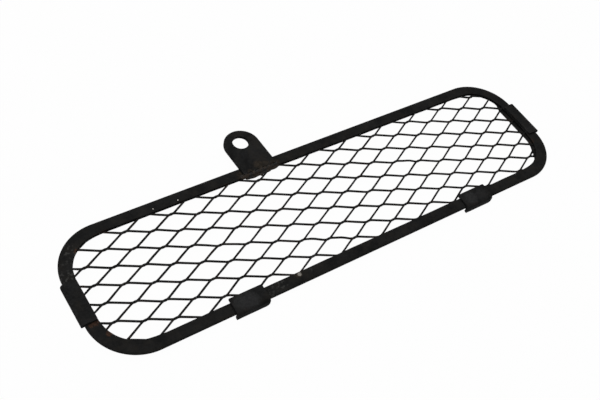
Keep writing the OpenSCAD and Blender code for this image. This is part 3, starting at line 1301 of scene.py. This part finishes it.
@dataclass(frozen=True)
class HookLug:
    """Lug bent from thicker sheet: a plate on the ring and a leg down outside it."""

    ring: ChannelRing
    node: str
    side: Side
    sheet: float = 1.2 * MM
    bend: float = 0.5 * MM
    plate_corners: tuple[float, float] = (0.6 * MM, 0.6 * MM)
    leg_corners: tuple[float, float] = (1.0 * MM, 1.0 * MM)
    reach_in: float = 0.0
    edge: float = 0.16 * MM
    dimple_share: float = 0.3
    dimple_in: float = 2.5 * MM
    dimple_radius: float = 1.5 * MM
    dimple_depth: float = 0.16 * MM
    dimple_wall: tuple[float, float] = (0.45, 1.0)
    dimple_lip: Triple = (0.18, 1.12, 0.16)
    sag: float = 0.02 * MM
    bend_wear_and_highlight: float = 0.7
    rim_wear: float = 0.9
    seed: int = 51

    def half_length(self, run: np.ndarray, total: float, half: float, end: int) -> np.ndarray:
        """Half of the lug's length at each place: full, less r - sqrt(r^2 - (r - u)^2) at both corners.

        Args:
            run: Places along the sheet, from the plate's edge to the leg's.
            total: Length of the sheet.
            half: Half of the lug's full length.
            end: Which end of the lug: 0 or 1.

        Returns:
            The half lengths.
        """
        result = np.full(run.shape, half)
        for radius, away in ((self.plate_corners[end], run), (self.leg_corners[end], total - run)):
            rest = np.clip(radius - away, 0.0, radius)
            result = result - (radius - np.sqrt(np.maximum(radius**2 - rest**2, 0.0)))
        return result

    def loop(self) -> tuple[np.ndarray, np.ndarray, np.ndarray, np.ndarray]:
        """Lay out the section's loop: over the top, down one end, back underneath and up the other.

        Returns:
            Shares of the length, of the edge radius along it and in height, and the wear.
        """
        top = np.linspace(-1.0, 1.0, 61)
        under = np.linspace(1.0, -1.0, 21)
        quarter = np.radians(np.array([22.5, 45.0, 67.5]))
        along = np.concatenate([top, np.ones(4), under, -np.ones(4)])
        flat, back, side = np.ones(len(top)), np.ones(len(under)), [0.7, 1.0, 0.7]
        sin, cos = np.sin(quarter), np.cos(quarter)
        rounding = np.concatenate([0.0 * flat, sin, [1.0], 0.0 * back, [-1.0], -cos])
        lift = np.concatenate([flat, cos, [0.0], -back, [0.0], sin])
        worn = np.concatenate([0.0 * flat, side, [0.2], 0.0 * back, [0.2], side])
        return along, rounding, lift, worn

    def build(self) -> bpy.types.Object:
        """Carry the section along the bent sheet.

        The sheet runs along the plate, turns by the angle (u - plate) / middle radius round
        the bend and runs down the leg. A point at height s above the sheet's inner face lies
        at radius bend + s in the turn. Spot welds press shallow dimples into the plate.

        Returns:
            The piece.
        """
        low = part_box(self.node)[0]
        out = np.array(self.side.value)
        beside = np.array([-out[1], out[0]])
        middle, size = (corner[:2] for corner in extent(self.node))
        face = self.ring.centre + out * self.ring.half[0 if out[0] else 1]
        origin = face * np.abs(out) + middle * np.abs(beside)
        half = float(np.abs(size @ beside)) / 2.0
        over = float(np.abs(size @ out)) - self.sheet + self.reach_in
        thick, bend, edge = self.sheet, self.bend, self.edge
        plate, turn_length = over - bend, QUARTER_TURN * (bend + self.sheet / 2.0)
        leg = self.ring.top - low.z - bend
        total = plate + turn_length + leg

        plate_corner, leg_corner = max(self.plate_corners), max(self.leg_corners)
        start = plate_corner * (1.0 - np.cos(np.radians(np.linspace(0.0, 90.0, 8))))
        end = total - leg_corner * (1.0 - np.cos(np.radians(np.linspace(90.0, 0.0, 9))))
        main = np.linspace(plate_corner, plate, 16)[1:]
        turn = np.linspace(plate, plate + turn_length, 12)[1:]
        bent = plate + turn_length
        legs = np.linspace(bent, end[0], 5)[1:-1] if end[0] > bent else np.array([])
        rim = edge * (1.0 - np.cos(np.radians(np.array([0.0, 30.0, 60.0]))))
        run = np.unique(np.round(np.concatenate([rim, start, main, turn, legs, end, total - rim]), 9))
        inset = np.minimum(run, total - run)
        shrink = np.where(inset < edge, edge - np.sqrt(np.maximum(edge**2 - (edge - inset) ** 2, 0.0)), 0.0)

        along, rounding, lift, worn = self.loop()
        reach = np.stack([self.half_length(run, total, half, end) for end in (0, 1)])
        reach = np.where(along[None, :] < 0.0, reach[0][:, None], reach[1][:, None])
        v = along[None, :] * (reach - edge) + rounding[None, :] * (edge - shrink)[:, None]
        level = np.sign(lift)[None, :] * (thick / 2.0 - edge)
        s = thick / 2.0 + level + lift[None, :] * (edge - shrink)[:, None]
        u = np.broadcast_to(run[:, None], v.shape)

        dimple = np.zeros_like(v)
        for sign in (-1.0, 1.0):
            from_middle = v - sign * self.dimple_share * 2.0 * half
            away = np.hypot(u - (over - self.dimple_in), from_middle) / self.dimple_radius
            lip, lip_at, lip_width = self.dimple_lip
            bowl = 1.0 - smooth_step(*self.dimple_wall, away)
            dimple += bowl - lip * np.exp(-(((away - lip_at) / lip_width) ** 2))
        top_face = lift[None, :] > 0.99
        sag = self.sag * waviness(u, v, (7.0 * MM, 3.1 * MM), self.seed)
        s = s - np.where(top_face, self.dimple_depth * dimple + np.abs(sag), 0.0)

        angle = np.clip((u - plate) / (bend + thick / 2.0), 0.0, QUARTER_TURN)
        outward = np.where(u < plate, u - over, -bend + (bend + s) * np.sin(angle))
        drop = np.maximum(u - plate - turn_length, 0.0)
        level = np.where(u < plate, s, -bend + (bend + s) * np.cos(angle) - drop)
        grid = np.empty((*v.shape, 3))
        grid[:, :, :2] = origin + outward[:, :, None] * out + v[:, :, None] * beside
        grid[:, :, 2] = self.ring.top + level
        # Closeness to the bend: worn paint, with a painted highlight along the bend.
        bent = self.bend_wear_and_highlight * np.sin(2.0 * angle) * (lift[None, :] > 0.0)
        rim_wear = np.where(inset < 1.5 * edge, self.rim_wear, 0.0)[:, None]
        surface = Surface()
        surface.add(grid, np.maximum(np.maximum(worn[None, :], bent), rim_wear), loop=False)
        return surface.build(self.node + "_plate")


# Studio


@dataclass(frozen=True)
class Lamp:
    """A soft square lamp: where it is, its side, its power and its colour."""

    name: str
    place: Triple
    side: float
    power: float
    colour: Rgb = WHITE


@dataclass(frozen=True)
class Studio:
    """Plain pale floor, soft lamps and the camera."""

    floor_level: float
    aim: Triple = (0.00701, -0.03439, 0.0)
    camera_place: Triple = (-0.144450, -0.179355, 0.256684)
    camera_roll: float = -16.74
    lens: float = 50.848
    sensor_width: float = 36.0
    clip_start: float = 0.01
    floor_side: float = 6.0
    floor_colour: Rgb = (0.45, 0.45, 0.45)
    floor_white: float = 0.98
    world_colour: Rgb = (0.86, 0.87, 0.88)
    world_level: float = 0.55
    lamps: tuple[Lamp, ...] = (
        Lamp("overhead_softbox", (0.10, 0.25, 0.85), 0.8, 6.0),
        Lamp("left_softbox", (-0.75, -0.25, 0.55), 0.5, 3.0),
    )

    @staticmethod
    def seen_directly(tree: Tree) -> object:
        """Lay the test for rays from the camera, from a shiny face or through glass."""
        path = tree.node("ShaderNodeLightPath").outputs
        seen = tree.math("MAXIMUM", path["Is Camera Ray"], path["Is Glossy Ray"])
        return tree.math("MAXIMUM", seen, path["Is Transmission Ray"])

    def lay_floor(self) -> None:
        """Lay a white floor that keeps the soft shadow."""
        mesh = bpy.data.meshes.new("floor")
        reach = self.floor_side / 2.0
        corners = ((-reach, -reach), (reach, -reach), (reach, reach), (-reach, reach))
        mesh.from_pydata([(x, y, self.floor_level) for x, y in corners], [], [(0, 1, 2, 3)])
        floor = add_object("floor", mesh)
        material = bpy.data.materials.new("pale_floor")
        tree = emptied(material)
        diffuse = tree.node("ShaderNodeBsdfDiffuse", {"Color": rgba(self.floor_colour)})
        white = tree.node("ShaderNodeEmission", {"Strength": 1.0})
        share = tree.math("MULTIPLY", self.seen_directly(tree), self.floor_white)
        mixed = tree.node("ShaderNodeMixShader", {0: share, 1: diffuse.outputs[0], 2: white.outputs[0]})
        tree.node("ShaderNodeOutputMaterial", {"Surface": mixed.outputs[0]})
        mesh.materials.append(material)
        floor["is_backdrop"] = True

    def hang_lamps(self) -> None:
        """Hang the lamps, each facing the guard."""
        for lamp in self.lamps:
            light = bpy.data.lights.new(lamp.name, "AREA")
            light.shape = "SQUARE"
            light.size = lamp.side
            light.energy = lamp.power
            light.color = lamp.colour
            holder = add_object(lamp.name, light)
            holder.location = lamp.place
            view = Vector(self.aim) - Vector(lamp.place)
            holder.rotation_mode = "QUATERNION"
            holder.rotation_quaternion = view.to_track_quat("-Z", "Y")

    def set_world(self) -> None:
        """Surround the guard with even pale light in front of white."""
        world = bpy.data.worlds.new("even_light")
        bpy.context.scene.world = world
        tree = emptied(world)
        inputs = {"Color": rgba(self.world_colour), "Strength": self.world_level}
        even = tree.node("ShaderNodeBackground", inputs)
        white = tree.node("ShaderNodeBackground", {"Color": rgba(WHITE), "Strength": 1.0})
        inputs = {0: self.seen_directly(tree), 1: even.outputs[0], 2: white.outputs[0]}
        mixed = tree.node("ShaderNodeMixShader", inputs)
        tree.node("ShaderNodeOutputWorld", {"Surface": mixed.outputs[0]})

    def set_camera(self) -> None:
        """Place the camera where the photograph was taken from, rolled about its own axis."""
        data = bpy.data.cameras.new("photo_camera")
        data.lens = self.lens
        data.sensor_width = self.sensor_width
        data.clip_start = self.clip_start
        camera = add_object("photo_camera", data)
        view = (Vector(self.aim) - Vector(self.camera_place)).normalized()
        turn = Quaternion(view, math.radians(self.camera_roll)) @ view.to_track_quat("-Z", "Y")
        camera.matrix_world = Matrix.Translation(self.camera_place) @ turn.to_matrix().to_4x4()
        bpy.context.scene.camera = camera

    def build(self) -> None:
        """Build the whole studio."""
        self.set_camera()
        self.lay_floor()
        self.hang_lamps()
        self.set_world()
        bpy.context.scene.view_settings.view_transform = "Standard"


def main() -> None:
    """Load the frame, build and dress each piece, and set the studio."""
    logging.basicConfig(level=logging.INFO, format="%(name)s: %(message)s")
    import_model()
    effects = Effects()

    ring_finish = WornEnamel(
        "ring_enamel",
        rust_spots=Spot.several(
            (-85.2, -48.4, 0.0, 1.5),
            (-86.9, -48.6, 0.0, 1.0),
            (-82.9, -54.0, 0.0, 1.3),
            (-78.6, -19.5, -0.2, 1.4),
            (120.9, -51.0, 0.0, 1.6, 0.5),
        ),
        bare_spots=Spot.several(
            (-12.0, -63.1, -0.1, 1.0, 0.27),
            (-36.0, -14.3, 0.0, 0.22),
            (-46.3, -14.1, 0.0, 0.2),
        ),
        stain_and_highlight_spots=Spot.several(
            (3.0, -14.6, 0.0, 6.5),
            (-6.0, -15.0, 0.0, 4.5),
            (8.8, -13.8, 0.0, 2.0, 0.8),
            (-12.6, -62.7, -0.2, 2.2),
        ),
        scuff_spots=Spot.several(
            (-81.0, -18.3, 0.0, 3.4),
            (-84.2, -23.4, 0.0, 2.6, 0.7),
            (-86.3, -28.0, 0.0, 3.6),
            (-20.2, -64.1, 0.0, 2.4),
            (-25.0, -64.9, 0.0, 3.4, 0.7),
            (-6.9, -63.5, 0.0, 1.2, 0.8),
        ),
    ).build(effects)
    grille_finish = WornEnamel(
        "grille_enamel",
        patches=160.0,
        dust_amount=0.25,
        edge_rust=0.3,
        rub_and_highlight_amount=0.35,
        bump=0.2,
        fleck_share=0.012,
        stain_and_highlight_spots=Spot.several((-13.9, -61.9, -0.6, 1.8)),
    ).build(effects)
    tab_finish = WornEnamel(
        "tab_enamel",
        pale=(0.0130, 0.0130, 0.0130),
        # Strong lighter rub: worn paint, with a painted highlight along the rolled-over edge.
        rubbed_and_highlight=(0.026, 0.0255, 0.025),
        rub_and_highlight_amount=1.5,
        fleck_share=0.012,
        edge_rust=0.12,
        stain_and_highlight_spots=Spot.several(
            (0.7, -13.1, 1.5, 2.6),
            (3.6, -13.6, 1.5, 2.2, 0.7),
            (6.6, -14.2, 1.5, 1.2),
            (-4.2, -14.7, 1.5, 1.4, 0.7),
        ),
    ).build(effects)
    # Lug paint: the paler base and the lighter grey spots on the front lug tops are painted highlight.
    lug_finish = WornEnamel(
        "lug_enamel",
        pale=(0.0128, 0.0128, 0.0129),
        # Strong rub: worn paint, with a painted highlight along the bends.
        rub_and_highlight_amount=0.85,
        edge_rust=0.15,
        stain_and_highlight_dark=(0.0138, 0.0138, 0.0139),
        stain_and_highlight_pale=(0.0210, 0.0210, 0.0212),
        stain_and_highlight_spots=Spot.several(
            (-34.6, -65.2, 1.2, 4.6),
            (-38.0, -64.0, 1.2, 3.0),
            (72.2, -64.6, 1.2, 3.8),
            (77.6, -65.2, 1.2, 3.8, 0.55),
        ),
    ).build(effects)
    weld_finish = WeldScale("weld_scale").build(effects)

    Studio(floor_level=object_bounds()[0][2]).build()
    ring, tab = ChannelRing(), BoltTab()
    corners = {"plate_corners": (0.3 * MM, 0.6 * MM), "leg_corners": (0.35 * MM, 1.5 * MM)}
    hook = {**corners, "reach_in": 0.3 * MM}
    parts = (
        (ring, ring_finish, Slot.RING),
        (ExpandedMetal(ring), grille_finish, Slot.GRILLE),
        (tab, tab_finish, Slot.TAB),
        (WeldBead(ring, tab), weld_finish, Slot.WELD),
        (HookLug(ring, "front_lug_left", Side.FRONT, seed=51, **hook), lug_finish, Slot.LUG),
        (HookLug(ring, "front_lug_right", Side.FRONT, seed=52, **hook), lug_finish, Slot.LUG),
        (HookLug(ring, "end_lug_left", Side.LEFT, seed=53), lug_finish, Slot.LUG),
        (HookLug(ring, "end_lug_right", Side.RIGHT, seed=54), lug_finish, Slot.LUG),
    )
    for part, finish, slot in parts:
        dress(part.build(), finish, slot, part.node)

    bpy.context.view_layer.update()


if __name__ == "__main__":
    main()
